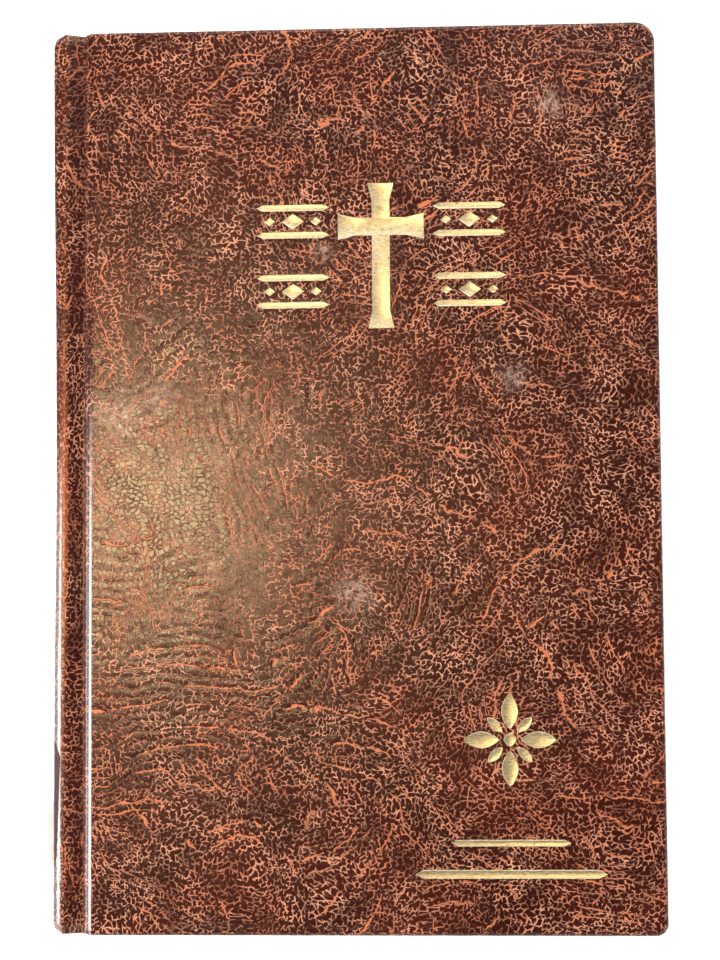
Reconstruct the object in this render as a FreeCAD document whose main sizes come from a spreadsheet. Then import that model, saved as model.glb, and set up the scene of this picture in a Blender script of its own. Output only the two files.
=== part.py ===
import FreeCAD, Part
import math
import os
import re
import Sketcher
from FreeCAD import Rotation, Vector

# A closed case-bound bible: two boards and a spine card covered in leatherette, and a sewn block of thin
# paper hung between them by its endpapers. Lengths are millimetres.
#
# Every piece is drawn in book coordinates: X from the back of the spine to the fore edge, Y from the tail to
# the head, Z from the table up through the back cover to the front cover. Each piece's Placement then moves
# the middle of the back cover's outer face to the origin.

SECTIONS_A_SIDE = 12
LEAVES_A_SIDE = 3
STITCH_ROWS = 8

SIZES = [
    ("book_width", 141.0, "back of the spine to the fore edge, over the covers"),
    ("book_height", 210.0, "tail to head, over the covers"),
    ("book_thick", 32.0, "over both covers"),
    ("skin_thick", 0.35, "leatherette"),
    ("board_thick", 2.4, "grey board, where the leatherette is turned in over it"),
    ("turn_in", 15.0, "width of leatherette folded inside round the board"),
    ("head_corner", 4.5, "corner radius of a cover at the head"),
    ("tail_corner", 2.5, "corner radius of a cover at the tail"),
    ("joint_corner", 1.2, "corner radius of a cover beside the groove"),
    ("cover_round", 1.0, "rounding along a cover's outer edges"),
    ("board_setback", 7.75, "back of the spine to the covered edge of a board"),
    ("groove_rise", 0.25, "endpaper to the leatherette in the groove"),
    ("groove_flat", 1.4, "width of the groove's floor"),
    ("joint_gap", 0.1, "between a groove's leatherette and what it joins"),
    ("shoulder_reach", 3.2, "back of the spine to where its leatherette starts down into the groove"),
    ("shoulder_drop", 0.7, "how far the spine's shoulders lie below the covers"),
    ("spine_round", 2.5, "rounding all round the back of the spine"),
    ("card_thick", 1.3, "card that stiffens the spine"),
    ("paste_thick", 0.15, "endpaper pasted on a board"),
    ("paste_margin", 3.0, "turn-in left showing round the pasted endpaper"),
    ("fly_thick", 0.15, "endpaper's free leaf"),
    ("fly_setback", 0.35, "back corner of the block to the edge of a free leaf"),
    ("tip_width", 4.2, "back corner of the block to where a free leaf's glued edge ends and the leaf turns"),
    ("paste_gap", 0.1, "air between a pasted endpaper and its free leaf"),
    ("fly_gap", 0.05, "air between a free leaf and the sections"),
    ("square_fore", 3.1, "how far a cover stands out past the pages at the fore edge"),
    ("square_ends", 3.5, "how far a cover stands out past the pages at the head and tail"),
    ("spine_face", 3.3, "back of the spine to the middle sections' folds"),
    ("round_back", 1.6, "how much the sewn back is rounded"),
    ("fold_round", 0.42, "rounding of a section's fold"),
    ("leaf_thick", 0.1, "loose leaf in the middle of the block"),
    ("leaf_gap", 0.043, "air round each leaf in the middle of the block"),
    ("leaf_setback", 0.05, "leaves' folds behind the hinge line"),
    ("thread_thick", 0.25, "sewing thread"),
    ("thread_wide", 0.6, "a stitch, along the spine"),
    ("stitch_inset", 14.0, "end of the pages to the first row of stitches"),
    ("mull_thick", 0.3, "open-weave cloth glued over the sewing"),
    ("mull_inset", 8.0, "end of the pages to the end of the cloth"),
    ("liner_thick", 0.3, "paper glued over the cloth"),
    ("glue_gap", 0.03, "between the layers on the back of the block"),
    ("bead_radius", 0.8, "half the thickness of a headband's bead"),
    ("bead_overlap", 0.5, "how far a bead stands in over the pages' ends"),
    ("band_tongue", 6.0, "headband's cloth glued on the back of the block"),
    ("band_cloth", 0.2, "thickness of that cloth"),
    ("band_gap", 0.08, "between a bead and the pages' ends"),
    ("label_low", 15.0, "tail of the book to the label on the spine"),
    ("label_high", 29.0, "height of that label"),
    ("label_thick", 0.15, "label film"),
    ("label_wrap", 2.1, "how far the label reaches round onto each shoulder"),
]

PLACES = [
    ("middle", "book_thick / 2"),
    ("cover_low", "book_thick - 2 * skin_thick - board_thick"),
    ("paste_low", "cover_low - paste_thick"),
    ("hinge_high", "paste_low - paste_gap"),
    ("fly_low", "hinge_high - fly_thick"),
    ("block_high", "fly_low - fly_gap"),
    ("block_low", "book_thick - block_high"),
    ("leaf_pitch", "leaf_thick + leaf_gap"),
    ("page_width", "book_width - spine_face - round_back - square_fore"),
    ("page_height", "book_height - 2 * square_ends"),
    ("page_tail", "square_ends"),
    ("page_head", "page_tail + page_height"),
    ("block_half", "block_high - middle"),
    ("back_radius", "(block_half^2 + round_back^2) / (2 * round_back)"),
    ("back_centre", "spine_face + back_radius"),
    ("thread_radius", "back_radius + glue_gap"),
    ("mull_radius", "thread_radius + thread_thick + glue_gap"),
    ("liner_radius", "mull_radius + mull_thick + glue_gap"),
    ("tongue_radius", "liner_radius + liner_thick + glue_gap"),
    ("inner_face", "board_setback + skin_thick"),
    ("groove_floor", "paste_low + paste_thick + groove_rise"),
    ("card_wide", "book_thick - 2 * shoulder_drop - 2 * spine_round"),
    ("leaf_room", f"leaf_gap + leaf_pitch * {2 * LEAVES_A_SIDE}"),
    ("section_thick", f"(block_half - leaf_room / 2) / {SECTIONS_A_SIDE}"),
]

doc = FreeCAD.newDocument("bible")


def new_sheet(name, rows):
    """A sheet with a row for each (name, content, meaning) and each content's cell named after it."""
    sheet = doc.addObject("Spreadsheet::Sheet", name)
    for row, (alias, content, meaning) in enumerate(rows, start=1):
        sheet.set(f"A{row}", meaning)
        sheet.set(f"B{row}", content)
        sheet.setAlias(f"B{row}", alias)
    doc.recompute()
    return sheet


def bound(text):
    """An expression with each named size or place tied to its sheet."""

    def owner(word):
        if word.group() in size_names:
            return "sizes." + word.group()
        if word.group() in place_names:
            return "places." + word.group()
        return word.group()

    return re.sub(r"[a-z_]+", owner, text)


size_names = {name for name, _, _ in SIZES}
place_names = {name for name, _ in PLACES}
sizes = new_sheet("sizes", [(name, f"{value}", meaning) for name, value, meaning in SIZES])
places = new_sheet("places", [(name, "=" + bound(formula), "worked out") for name, formula in PLACES])


def number(name):
    """The value of a named size or place."""
    sheet = sizes if name in size_names else places
    return float(sheet.get(name))


def put(thing, start):
    """Puts a piece's corner or centre at three expressions."""
    for axis, text in zip("xyz", start):
        thing.setExpression(f".Placement.Base.{axis}", bound(text))
    return thing


def add_box(name, start, lengths):
    """A block from its lowest corner and its three lengths."""
    block = doc.addObject("Part::Box", name)
    for side, text in zip(("Length", "Width", "Height"), lengths):
        block.setExpression(side, bound(text))
    return put(block, start)


def box_between(name, low, high):
    """A block between two corners."""
    return add_box(name, low, [f"({b}) - ({a})" for a, b in zip(low, high)])


def add_cut(name, base, tool):
    cut = doc.addObject("Part::Cut", name)
    cut.Base = base
    cut.Tool = tool
    return cut


def add_common(name, base, tool):
    common = doc.addObject("Part::Common", name)
    common.Base = base
    common.Tool = tool
    return common


def add_fuse(name, shapes):
    fuse = doc.addObject("Part::MultiFuse", name)
    fuse.Shapes = shapes
    return fuse


def add_rod(name, radius, start, length):
    """A round bar along Y."""
    rod = doc.addObject("Part::Cylinder", name)
    rod.setExpression("Radius", bound(radius))
    rod.setExpression("Height", bound(length))
    rod.Placement.Rotation = Rotation(Vector(1, 0, 0), -90)
    return put(rod, start)


def edges_where(shape, test):
    """The numbers of a shape's edges whose middle and direction pass a test."""
    found = []
    for position, edge in enumerate(shape.Edges, start=1):
        middle = edge.valueAt((edge.FirstParameter + edge.LastParameter) / 2)
        direction = edge.tangentAt((edge.FirstParameter + edge.LastParameter) / 2)
        if test(middle, direction):
            found.append(position)
    return found


def add_part_fillet(name, base, radius, test):
    """Rounds a Part object's edges that pass a test, to a named radius."""
    doc.recompute()
    fillet = doc.addObject("Part::Fillet", name)
    fillet.Base = base
    value = number(radius) if isinstance(radius, str) else radius
    fillet.Edges = [(edge, value, value) for edge in edges_where(base.Shape, test)]
    return fillet


def add_outline(body, name, plane, points, offset="0"):
    """A closed sketch on one of a body's planes, each corner held at two expressions."""
    support = [f for f in body.Origin.OriginFeatures if f.Role == plane][0]
    sketch = body.newObject("Sketcher::SketchObject", name)
    sketch.AttachmentSupport = [(support, "")]
    sketch.MapMode = "FlatFace"
    sketch.setExpression(".AttachmentOffset.Base.z", bound(offset))
    count = len(points)
    ring = [
        Vector(20 + 10 * math.cos(math.tau * i / count), 20 + 10 * math.sin(math.tau * i / count), 0)
        for i in range(count)
    ]
    sketch.addGeometry([Part.LineSegment(ring[i], ring[(i + 1) % count]) for i in range(count)], False)
    sketch.addConstraint(
        [Sketcher.Constraint("Coincident", i, 2, (i + 1) % count, 1) for i in range(count)]
    )
    for i, (x_text, y_text) in enumerate(points):
        across = sketch.addConstraint(Sketcher.Constraint("DistanceX", -1, 1, i, 1, ring[i].x))
        along = sketch.addConstraint(Sketcher.Constraint("DistanceY", -1, 1, i, 1, ring[i].y))
        sketch.setExpression(f"Constraints[{across}]", bound(x_text))
        sketch.setExpression(f"Constraints[{along}]", bound(y_text))
    return sketch


def add_pad(body, name, sketch, length):
    pad = body.newObject("PartDesign::Pad", name)
    pad.Profile = sketch
    pad.setExpression("Length", bound(length))
    return pad


def add_body_fillet(body, name, radius, test):
    """Rounds the edges of a body's last feature that pass a test."""
    doc.recompute()
    base = body.Tip
    fillet = body.newObject("PartDesign::Fillet", name)
    fillet.Base = (base, [f"Edge{edge}" for edge in edges_where(base.Shape, test)])
    fillet.setExpression("Radius", bound(radius))
    return fillet


def rectangle(low, high):
    return [(low[0], low[1]), (high[0], low[1]), (high[0], high[1]), (low[0], high[1])]


def plate(name, low, high, bottom, thick):
    """A flat sheet between two corners, from a height and a thickness."""
    body = doc.addObject("PartDesign::Body", name)
    outline = add_outline(body, name + "_outline", "XY_Plane", rectangle(low, high), bottom)
    add_pad(body, name + "_pad", outline, thick)
    return body


pieces = []


def keep(thing, name):
    """Names a finished piece and moves it from book coordinates to the book's own frame."""
    thing.Label = name
    put(thing, ("-book_width / 2", "-book_height / 2", "0"))
    pieces.append(thing)
    return thing


def keep_mirrored(name, source, source_name):
    """The back cover's twin of a front piece, and the front piece itself."""
    twin = doc.addObject("Part::Mirroring", name + "_twin")
    twin.Source = source
    twin.Normal = Vector(0, 0, 1)
    twin.setExpression(".Base.z", bound("middle"))
    pair = doc.addObject("Part::Compound", source_name + "_copy")
    pair.Links = [source]
    keep(pair, source_name)
    keep(twin, name)


def upright(direction):
    return abs(direction.z) > 0.9


def near(value, place):
    return abs(value - place) < 0.01


def rounded_plate(name, inset, low, high):
    """A cover's outline as a solid, drawn in by an inset on every side, with its outer edges rounded."""
    body = doc.addObject("PartDesign::Body", name)
    corner_low = (f"board_setback + {inset}", inset)
    corner_high = (f"book_width - {inset}", f"book_height - {inset}")
    outline = add_outline(body, name + "_outline", "XY_Plane", rectangle(corner_low, corner_high), low)
    add_pad(body, name + "_pad", outline, f"({high}) - ({low})")
    middle_x = number("book_width") / 2
    middle_y = number("book_height") / 2
    top = number("book_thick") - (number("skin_thick") if inset != "0" else 0)

    def at_fore_head(point, direction):
        return upright(direction) and point.x > middle_x and point.y > middle_y

    def at_fore_tail(point, direction):
        return upright(direction) and point.x > middle_x and point.y < middle_y

    def at_joint(point, direction):
        return upright(direction) and point.x < middle_x

    def round_top(point, direction):
        return near(point.z, top)

    add_body_fillet(body, name + "_head_corner", f"head_corner - {inset}", at_fore_head)
    add_body_fillet(body, name + "_tail_corner", f"tail_corner - {inset}", at_fore_tail)
    add_body_fillet(body, name + "_joint_corner", f"joint_corner - {inset}", at_joint)
    add_body_fillet(body, name + "_edge_round", f"cover_round - {inset}", round_top)
    return body


def make_boards():
    """The two grey boards, each raised inside the turned-in leatherette so that the endpaper lies flat."""
    board = rounded_plate("board_form", "skin_thick", "cover_low + skin_thick", "book_thick - skin_thick")
    pad_low = ("inner_face", "turn_in")
    pad_high = ("book_width - turn_in", "book_height - turn_in")
    raised = add_outline(board, "board_raised", "XY_Plane", rectangle(pad_low, pad_high), "cover_low")
    add_pad(board, "board_raised_pad", raised, "skin_thick")
    keep_mirrored("back_board", board, "front_board")
    return board


def make_cover_skins(board):
    """The leatherette round each board: an outer panel, its four edges and the three turn-ins."""
    outside = rounded_plate("cover_form", "0", "cover_low", "book_thick")
    hollow = add_cut("cover_hollow", outside, board)
    keep_mirrored("back_cover_skin", hollow, "front_cover_skin")


def make_pastedowns():
    """The endpaper pasted inside each cover."""
    paste = plate(
        "paste_form",
        ("board_setback", "paste_margin"),
        ("book_width - paste_margin", "book_height - paste_margin"),
        "paste_low",
        "paste_thick",
    )
    keep_mirrored("back_pastedown", paste, "front_pastedown")


def make_flyleaves():
    """The free leaf of each endpaper, and the edge of it that is glued to the block."""
    glued = plate(
        "fly_edge_form",
        ("spine_face + fly_setback", "page_tail"),
        ("spine_face + tip_width - joint_gap", "page_head"),
        "fly_low",
        "fly_thick",
    )
    keep_mirrored("back_flyleaf_edge", glued, "front_flyleaf_edge")
    fly = plate(
        "fly_form",
        ("spine_face + tip_width", "page_tail"),
        ("spine_face + fly_setback + page_width", "page_head"),
        "fly_low",
        "fly_thick",
    )
    keep_mirrored("back_flyleaf", fly, "front_flyleaf")


def make_joint_skins():
    """The leatherette of each groove, from the spine's shoulder down to the endpaper and on to the board."""
    body = doc.addObject("PartDesign::Body", "joint_form")
    low = "book_thick - shoulder_drop - skin_thick"
    floor_start = "board_setback - joint_gap - groove_flat"
    profile = [
        ("shoulder_reach + joint_gap", low),
        (floor_start, "groove_floor"),
        ("board_setback - joint_gap", "groove_floor"),
        ("board_setback - joint_gap", "groove_floor + skin_thick"),
        (floor_start + " + skin_thick / 4", "groove_floor + skin_thick"),
        ("shoulder_reach + joint_gap", low + " + skin_thick"),
    ]
    outline = add_outline(body, "joint_outline", "XZ_Plane", profile)
    pad = add_pad(body, "joint_pad", outline, "book_height")
    pad.Reversed = True
    keep_mirrored("back_joint_skin", body, "front_joint_skin")


def make_spine_case():
    """The leatherette round the spine, the card inside it and the film label wrapped over both shoulders."""
    top = "book_thick - shoulder_drop"

    def back_edge(inset):
        return lambda point, direction: near(point.x, inset)

    outside = box_between("spine_block", ("0", "0", "shoulder_drop"), ("shoulder_reach", "book_height", top))
    outside = add_part_fillet("spine_outside", outside, number("spine_round"), back_edge(0))
    skin = number("skin_thick")
    inside = box_between(
        "spine_hollow_block",
        ("skin_thick", "skin_thick", "shoulder_drop + skin_thick"),
        ("shoulder_reach + 1", "book_height - skin_thick", top + " - skin_thick"),
    )
    inside = add_part_fillet("spine_hollow", inside, number("spine_round") - skin, back_edge(skin))
    shell = add_cut("spine_shell", outside, inside)
    mouths = []
    for end, start in (("tail", "0"), ("head", "book_height - skin_thick")):
        mouths.append(
            add_box(
                f"spine_mouth_{end}",
                ("skin_thick * 2 + card_thick", start, "shoulder_drop + skin_thick"),
                ("shoulder_reach", "skin_thick", "book_thick - 2 * (shoulder_drop + skin_thick)"),
            )
        )
    open_shell = add_cut("spine_open_shell", shell, add_fuse("spine_mouths", mouths))
    flaps = [open_shell]
    for end, start in (("tail", "skin_thick"), ("head", "book_height - turn_in")):
        flaps.append(
            add_box(
                f"spine_flap_{end}",
                ("skin_thick + card_thick", start, "middle - card_wide / 2"),
                ("skin_thick", "turn_in - skin_thick", "card_wide"),
            )
        )
    keep(add_fuse("spine_leather", flaps), "spine_skin")
    card = plate(
        "card_form",
        ("skin_thick", "spine_round"),
        ("skin_thick + card_thick", "book_height - spine_round"),
        "middle - card_wide / 2",
        "card_wide",
    )
    keep(card, "spine_card")
    label_box = box_between(
        "label_block",
        ("-label_thick", "label_low", "shoulder_drop - label_thick"),
        ("shoulder_reach", "label_low + label_high", top + " + label_thick"),
    )

    def long_back_edge(point, direction):
        return near(point.x, -number("label_thick")) and abs(direction.y) > 0.9

    film_radius = number("spine_round") + number("label_thick")
    label = add_part_fillet("label_outside", label_box, film_radius, long_back_edge)
    film = add_cut("label_film", label, outside)
    wrap = box_between(
        "label_window",
        ("-2 * label_thick", "label_low", "0"),
        ("label_wrap", "label_low + label_high", "book_thick"),
    )
    keep(add_common("label_wrapped", film, wrap), "spine_label")


def arc_band(name, radius, thick, y_low, y_high):
    """A layer on the rounded back of the block, from its inner radius, thickness and two ends."""
    outer_text = f"({radius}) + ({thick})"
    start = ("back_centre", y_low, "middle")
    length = f"({y_high}) - ({y_low})"
    ring = add_cut(
        name + "_ring",
        add_rod(name + "_outer", outer_text, start, length),
        add_rod(name + "_inner", radius, start, length),
    )
    window = box_between(
        name + "_window",
        ("-skin_thick", y_low, "block_low"),
        ("board_setback", y_high, "block_high"),
    )
    return add_common(name + "_band", ring, window)


def make_back_layers():
    """The open-weave cloth and the paper glued on the back of the sewn block."""
    mull = arc_band(
        "mull_form", "mull_radius", "mull_thick", "page_tail + mull_inset", "page_head - mull_inset"
    )
    keep(mull, "mull")
    liner = arc_band("liner_form", "liner_radius", "liner_thick", "page_tail", "page_head")
    keep(liner, "spine_liner")


def make_thread():
    """Rows of linking stitches that run over the folds of every section."""
    rows = []
    for row in range(STITCH_ROWS):
        share = row / (STITCH_ROWS - 1)
        start = f"page_tail + stitch_inset + (page_height - 2 * stitch_inset - thread_wide) * {share:.6f}"
        rows.append(
            arc_band(f"stitch_{row + 1}", "thread_radius", "thread_thick", start, f"{start} + thread_wide")
        )
    group = doc.addObject("Part::Compound", "stitches")
    group.Links = rows
    keep(group, "sewing_thread")


def make_headbands():
    """A corded bead at each end of the block's back, with the cloth tongue that glues it there."""
    head_edge = "page_head + band_gap"
    head_bead = head_edge + " + bead_radius"
    tail_edge = "page_tail - band_gap"
    tail_bead = tail_edge + " - bead_radius"
    ends = (
        ("headband", head_bead, (head_edge, head_bead), ("page_head - band_tongue", head_edge)),
        ("tailband", tail_bead, (tail_bead, tail_edge), (tail_edge, "page_tail + band_tongue")),
    )
    for name, bead_y, bridge_ends, tongue_ends in ends:
        ring = doc.addObject("Part::Torus", name + "_ring")
        ring.setExpression("Radius1", bound("back_radius - bead_overlap"))
        ring.setExpression("Radius2", bound("bead_radius"))
        ring.Placement.Rotation = Rotation(Vector(1, 0, 0), -90)
        put(ring, ("back_centre", bead_y, "middle"))
        window = box_between(
            name + "_bead_window",
            ("0", f"{bead_y} - 2 * bead_radius", "block_low + bead_radius"),
            ("board_setback", f"{bead_y} + 2 * bead_radius", "block_high - bead_radius"),
        )
        bead = add_common(name + "_bead", ring, window)
        tongue = arc_band(name + "_tongue", "tongue_radius", "band_cloth", *tongue_ends)
        bridge = arc_band(
            name + "_bridge",
            "back_radius - bead_overlap + bead_radius / 2",
            "tongue_radius + band_cloth - back_radius + bead_overlap - bead_radius / 2",
            *bridge_ends,
        )
        keep(add_fuse(name + "_all", [bead, bridge, tongue]), name)


def section_start(share):
    """Where a section's fold lies, for its distance from the middle as a share of the half block."""
    return f"spine_face + round_back * {share * share:.6f}"


def make_section(number_up, share, bottom):
    """One sewn section: folded sheets pressed into a slab with a rounded fold."""
    name = f"section_{number_up:02d}"
    start = section_start(share)
    body = plate(
        name + "_form", (start, "page_tail"), (f"{start} + page_width", "page_head"), bottom, "section_thick"
    )
    fold_x = number("spine_face") + number("round_back") * share * share

    def at_fold(point, direction):
        return abs(point.x - fold_x) < 0.01 and abs(direction.y) > 0.9

    add_body_fillet(body, name + "_fold", "fold_round", at_fold)
    keep(body, name)


def make_sections():
    """Twelve sections from the back cover up, a space for the loose leaves, and twelve more."""
    for step in range(SECTIONS_A_SIDE):
        share = (SECTIONS_A_SIDE - step - 0.5) / SECTIONS_A_SIDE
        make_section(step + 1, share, f"block_low + section_thick * {step}")
    for step in range(SECTIONS_A_SIDE):
        share = (step + 0.5) / SECTIONS_A_SIDE
        make_section(SECTIONS_A_SIDE + step + 1, share, f"middle + leaf_room / 2 + section_thick * {step}")


def make_leaves():
    """Single leaves where the book opens, half of them on each side of its middle."""
    first = "middle - leaf_room / 2 + leaf_gap"
    for step in range(2 * LEAVES_A_SIDE):
        side = "back" if step < LEAVES_A_SIDE else "front"
        count = LEAVES_A_SIDE - step if step < LEAVES_A_SIDE else step - LEAVES_A_SIDE + 1
        name = f"{side}_leaf_{count}"
        start = "spine_face + leaf_setback"
        leaf = plate(
            name + "_form",
            (start, "page_tail"),
            (f"{start} + page_width", "page_head"),
            f"{first} + leaf_pitch * {step}",
            "leaf_thick",
        )
        keep(leaf, name)


def check_all():
    """Stops if any object failed, or any piece is empty or not a sound solid."""
    doc.recompute()
    for thing in doc.Objects:
        if {"Invalid", "Error"} & set(thing.State):
            raise RuntimeError(f"{thing.Name} failed: {thing.State}")
    for piece in pieces:
        shape = piece.Shape
        if shape.isNull() or not shape.isValid() or not shape.Solids:
            raise RuntimeError(f"{piece.Label} isn't a sound solid")


def write_all():
    """Writes each piece to its own STEP file."""
    os.makedirs("parts", exist_ok=True)
    for piece in pieces:
        piece.Shape.exportStep(f"parts/{piece.Label}.step")
        box = piece.Shape.BoundBox
        print(
            f"{piece.Label:18s} {len(piece.Shape.Solids):2d} solids {piece.Shape.Volume:10.2f} mm3  "
            f"x {box.XMin:.2f}..{box.XMax:.2f}  y {box.YMin:.2f}..{box.YMax:.2f}  z {box.ZMin:.2f}..{box.ZMax:.2f}"
        )


make_cover_skins(make_boards())
make_pastedowns()
make_flyleaves()
make_joint_skins()
make_spine_case()
make_back_layers()
make_thread()
make_headbands()
make_sections()
make_leaves()
check_all()
write_all()
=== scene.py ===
# %% [markdown]
# # A bible bound in grained leatherette
#
# The book lies shut on its back cover. Its case is one sheet of embossed leatherette over two grey boards and
# a spine card, and inside hangs a sewn block of thin paper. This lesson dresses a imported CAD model: hard
# pieces keep their CAD solids and get a finish, and pieces that bend or carry grain are worked out with numpy.
# Lengths are metres. X runs from the spine to the fore edge, Y from the tail to the head, Z upwards.

import bpy
import numpy as np
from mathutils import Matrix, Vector


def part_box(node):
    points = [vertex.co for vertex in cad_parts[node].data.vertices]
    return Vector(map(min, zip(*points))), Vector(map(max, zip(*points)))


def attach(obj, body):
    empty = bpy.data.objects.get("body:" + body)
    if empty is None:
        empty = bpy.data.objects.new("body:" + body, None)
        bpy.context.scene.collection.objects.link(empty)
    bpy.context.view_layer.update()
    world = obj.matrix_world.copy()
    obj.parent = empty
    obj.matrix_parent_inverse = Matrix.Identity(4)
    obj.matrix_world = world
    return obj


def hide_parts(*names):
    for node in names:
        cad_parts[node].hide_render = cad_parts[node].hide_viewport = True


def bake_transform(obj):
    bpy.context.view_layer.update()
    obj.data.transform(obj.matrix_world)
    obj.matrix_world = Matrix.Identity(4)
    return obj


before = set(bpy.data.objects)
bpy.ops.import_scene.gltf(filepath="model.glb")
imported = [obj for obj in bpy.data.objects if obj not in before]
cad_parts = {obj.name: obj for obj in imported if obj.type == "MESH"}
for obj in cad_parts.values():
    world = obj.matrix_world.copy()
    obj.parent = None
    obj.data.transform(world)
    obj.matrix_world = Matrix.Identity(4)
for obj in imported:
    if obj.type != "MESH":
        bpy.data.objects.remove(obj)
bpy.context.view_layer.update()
MM = 0.001

# %% [markdown]
# ## Noise to work with
#
# Leather grain is never regular, so most shapes here lean on a smooth random surface. A lattice of random
# numbers joined by a quintic curve is the simplest kind, and numpy evaluates it for a whole mesh at once.


# %% A smooth random surface
LATTICE = 89  # random heights along each side, after which the surface repeats


def soft_noise(u, v, cell, seed):
    """Random heights on a square lattice, -1 to 1, blended by t^3 (6 t^2 - 15 t + 10) both ways."""
    heights = np.random.default_rng(seed).uniform(-1, 1, (LATTICE, LATTICE))
    a, b = np.asarray(u) / cell, np.asarray(v) / cell
    i, j = np.floor(a).astype(int), np.floor(b).astype(int)
    s, t = a - i, b - j
    s = s**3 * (6 * s**2 - 15 * s + 10)
    t = t**3 * (6 * t**2 - 15 * t + 10)
    i, next_i, j, next_j = i % LATTICE, (i + 1) % LATTICE, j % LATTICE, (j + 1) % LATTICE
    near_row = heights[i, j] * (1 - s) + heights[next_i, j] * s
    far_row = heights[i, next_j] * (1 - s) + heights[next_i, next_j] * s
    return near_row * (1 - t) + far_row * t


def smooth_step(low, high, x):
    """0 below low, 1 above high, and 3 t^2 - 2 t^3 between."""
    t = np.clip((x - low) / (high - low), 0, 1)
    return t * t * (3 - 2 * t)


# %% [markdown]
# ## Meshes from arrays
#
# Every new piece is a few numpy arrays: points, faces, and now and then a number or vector per point that its
# finish reads. One helper turns them into a Blender object, shades it smooth and keeps its corners crisp.


# %% Turn arrays into a piece
def make_piece(name, points, faces, material, vectors=None, sharp=40):
    """A mesh object from points (n, 3), a list of face arrays, and named vectors per point for its finish."""
    mesh = bpy.data.meshes.new(name)
    polygons = [polygon for block in faces for polygon in np.asarray(block).tolist()]
    mesh.from_pydata(np.asarray(points, float).tolist(), [], polygons)
    for title, values in (vectors or {}).items():
        layer = mesh.attributes.new(title, "FLOAT_VECTOR", "POINT")
        layer.data.foreach_set("vector", np.asarray(values, "f").ravel())
    mesh.polygons.foreach_set("use_smooth", np.ones(len(polygons), bool))
    mesh.set_sharp_from_angle(angle=np.radians(sharp))
    mesh.materials.append(material)
    mesh.validate()
    piece = bpy.data.objects.new(name, mesh)
    bpy.context.scene.collection.objects.link(piece)
    print(f"{name}: {len(points)} points, {len(polygons)} faces")
    return piece


def grid_faces(rows, columns, wrap=False):
    """Quads of a grid of rows x columns points numbered row by row; wrap joins the last column to the first."""
    r = np.arange(rows - 1)[:, None]
    c = np.arange(columns if wrap else columns - 1)[None, :]
    d = (c + 1) % columns
    quads = np.stack([r * columns + c, r * columns + d, (r + 1) * columns + d, (r + 1) * columns + c], -1)
    return quads.reshape(-1, 4)


def grid_rim(rows, columns):
    """The numbers of a grid's outermost points, once round."""
    number = np.arange(rows * columns).reshape(rows, columns)
    return np.concatenate([number[0, :-1], number[:-1, -1], number[-1, :0:-1], number[:0:-1, 0]])


def sheet_faces(rows, columns):
    """A thin sheet's faces: one grid, the same grid turned over for the points that follow the first's, and a
    band of quads that joins the two rims."""
    size = rows * columns
    face, rim = grid_faces(rows, columns), grid_rim(rows, columns)
    band = np.stack([rim, rim + size, np.roll(rim, -1) + size, np.roll(rim, -1)], -1)
    return [face, face[:, ::-1] + size, band]


# %% [markdown]
# ## A notebook for shader nodes
#
# Materials are node trees. This small class adds nodes and links them in one line each, so that a finish
# reads from top to bottom like a recipe.


# %% Shader helper
class Finish:
    """A material under construction. Sockets are keywords: a number, a colour, or another node's output."""

    def __init__(self, name):
        self.material = bpy.data.materials.new(name)
        self.material.use_nodes = True
        self.tree = self.material.node_tree
        self.skin = self.tree.nodes["Principled BSDF"]

    def node(self, kind, settings=None, **sockets):
        made = self.tree.nodes.new("ShaderNode" + kind)
        for key, value in (settings or {}).items():
            setattr(made, key, value)
        for key, value in sockets.items():
            self.plug(made, key.replace("_", " "), value)
        return made

    def plug(self, made, key, value):
        socket = made.inputs[int(key[1:])] if key[0] == "i" and key[1:].isdigit() else made.inputs[key]
        if isinstance(value, bpy.types.NodeSocket):
            self.tree.links.new(value, socket)
        else:
            socket.default_value = value

    def set_skin(self, **sockets):
        for key, value in sockets.items():
            self.plug(self.skin, key.replace("_", " "), value)

    def math(self, kind, a, b=0.0):
        return self.node("Math", {"operation": kind}, i0=a, i1=b).outputs[0]

    def mix(self, share, a, b):
        return self.node("Mix", {"data_type": "RGBA"}, i0=share, i6=a, i7=b).outputs[2]

    def step(self, x, low, high, out_low=0.0, out_high=1.0):
        made = self.node("MapRange", {"interpolation_type": "SMOOTHSTEP"}, Value=x)
        for key, value in zip(("From Min", "From Max", "To Min", "To Max"), (low, high, out_low, out_high)):
            self.plug(made, key, value)
        return made.outputs[0]

    def noise(self, place, scale, detail=2.0, roughness=0.5):
        return self.node("TexNoise", Vector=place, Scale=scale, Detail=detail, Roughness=roughness).outputs[0]

    def attribute(self, title):
        return self.node("Attribute", {"attribute_name": title}).outputs["Vector"]

    def place(self):
        return self.node("TexCoord").outputs["Object"]

    def bump(self, height, distance, strength):
        return self.node("Bump", Height=height, Distance=distance, Strength=strength).outputs[0]


def colour(r, g, b):
    """An sRGB colour, 0 to 255, as the linear colour that a socket takes."""
    c = np.array([r, g, b]) / 255
    return (*np.where(c <= 0.04045, c / 12.92, ((c + 0.055) / 1.055) ** 2.4).tolist(), 1.0)


# %% [markdown]
# ## Leatherette
#
# Embossed leatherette copies goat skin: a net of fine valleys round small pebbles, and longer folds that run
# in bundles and fan out. The sheet is printed dark and its valleys wiped with a warmer brown. Its pattern has
# to bend with the sheet, so it isn't tied to the object's axes. Instead each point of the mesh stores where it
# lies on the flat sheet, bent a little by noise so that the pebbles stretch this way and that, and three
# slowly changing numbers whose whole values are the lines of the long folds.


# %% Where the grain runs on the flat sheet
BUNDLES = ((24, 1.9), (82, 2.3), (141, 2.1))  # each bundle's tilt in degrees, and the mm between its folds


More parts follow.
